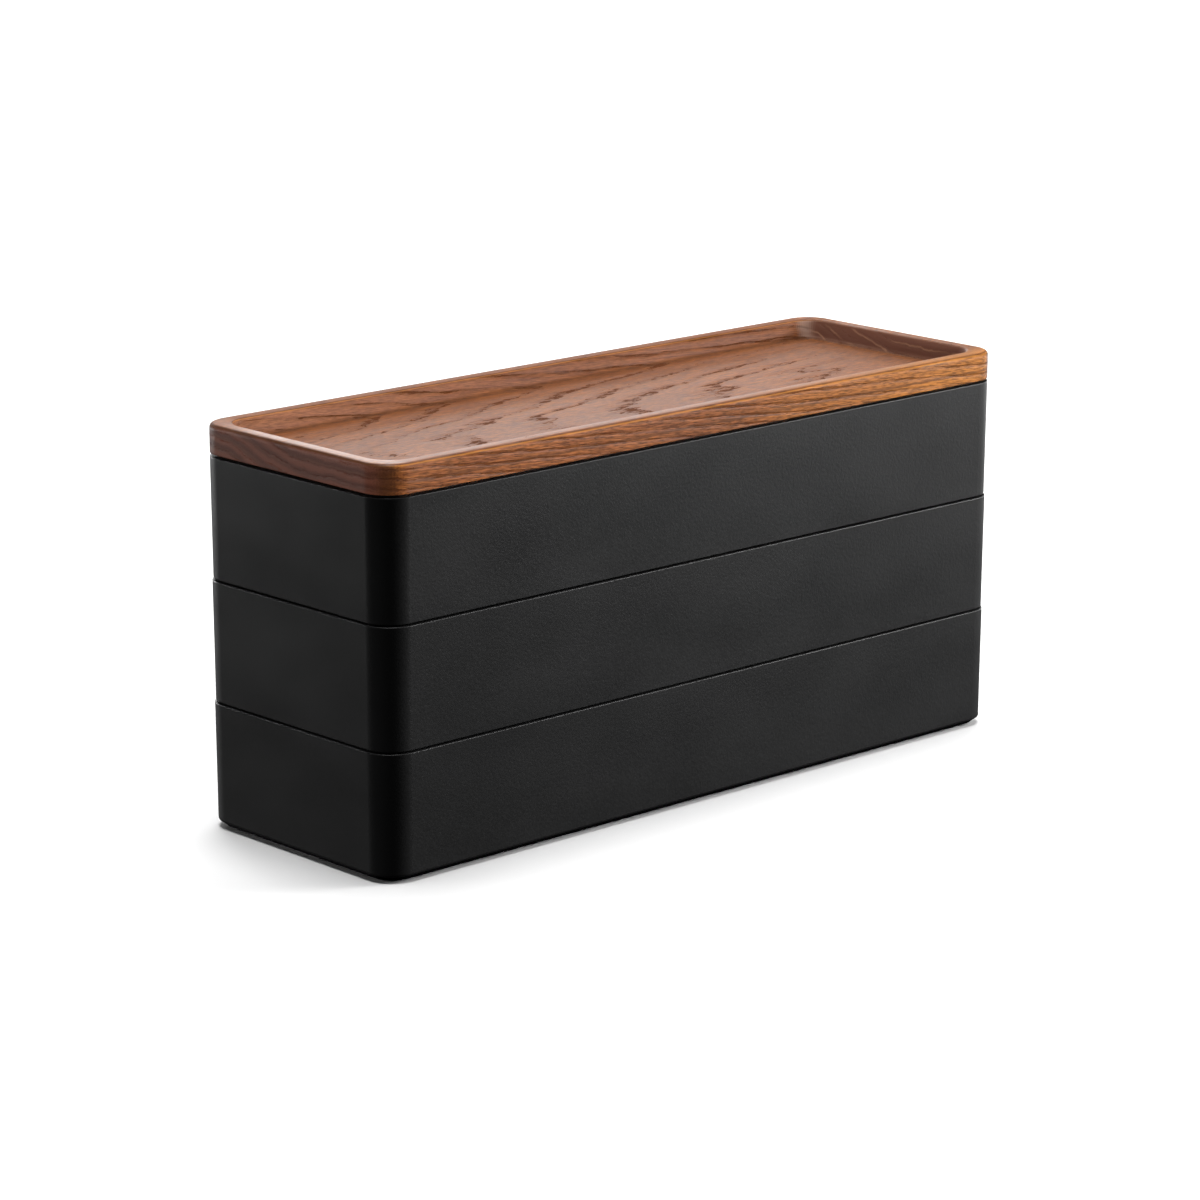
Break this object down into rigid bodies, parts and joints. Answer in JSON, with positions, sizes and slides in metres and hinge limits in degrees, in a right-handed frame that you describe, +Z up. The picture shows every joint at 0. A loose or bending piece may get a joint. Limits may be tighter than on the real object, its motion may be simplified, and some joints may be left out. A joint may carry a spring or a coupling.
{
  "type": "stackable accessory case",
  "caption": "Stack of black nesting trays for jewellery and small accessories, with linings, ring rolls and dividers, under a wooden lid that is a shallow tray.",
  "frame": {"origin": "centre of the footprint, on the surface that the case stands on", "axes": "+X along the length, front faces -Y, +Z up"},
  "size_m": [0.25, 0.083, 0.12],
  "materials": {
    "stained_wood": "satin walnut stain with open pores",
    "black_plastic": "matte, finely grained",
    "velour": "short soft pile",
    "rubber": "matte"
  },
  "bodies": {
    "lower": {"lower_tray": "black_plastic", "lower_lining": "velour", "foot_pad_1": "rubber", "foot_pad_2": "rubber", "foot_pad_3": "rubber", "foot_pad_4": "rubber"},
    "lower_divider": {"lower_divider": "black_plastic"},
    "middle": {"middle_tray": "black_plastic", "middle_lining": "velour", "middle_long_divider": "black_plastic", "middle_cross_divider_1": "black_plastic", "middle_cross_divider_2": "black_plastic", "middle_cross_divider_3": "black_plastic"},
    "upper": {"upper_tray": "black_plastic", "upper_lining": "velour", "ring_roll_1": "velour", "ring_roll_2": "velour", "ring_roll_3": "velour", "ring_roll_4": "velour", "ring_roll_5": "velour", "ring_roll_6": "velour", "ring_roll_7": "velour"},
    "upper_divider": {"upper_divider": "black_plastic"},
    "lid": {"lid_tray": "stained_wood"}
  },
  "joints": [
    {"name": "lid_lift", "type": "slide", "parent": "upper", "child": "lid", "axis": [0, 0, 1], "range_m": [0, 0.08]},
    {"name": "upper_tray_lift", "type": "slide", "parent": "middle", "child": "upper", "axis": [0, 0, 1], "range_m": [0, 0.08]},
    {"name": "middle_tray_lift", "type": "slide", "parent": "lower", "child": "middle", "axis": [0, 0, 1], "range_m": [0, 0.08]},
    {"name": "upper_divider_slide", "type": "slide", "parent": "upper", "child": "upper_divider", "axis": [1, 0, 0], "range_m": [0, 0.127]},
    {"name": "lower_divider_slide", "type": "slide", "parent": "lower", "child": "lower_divider", "axis": [1, 0, 0], "range_m": [-0.108, 0.108]}
  ]
}
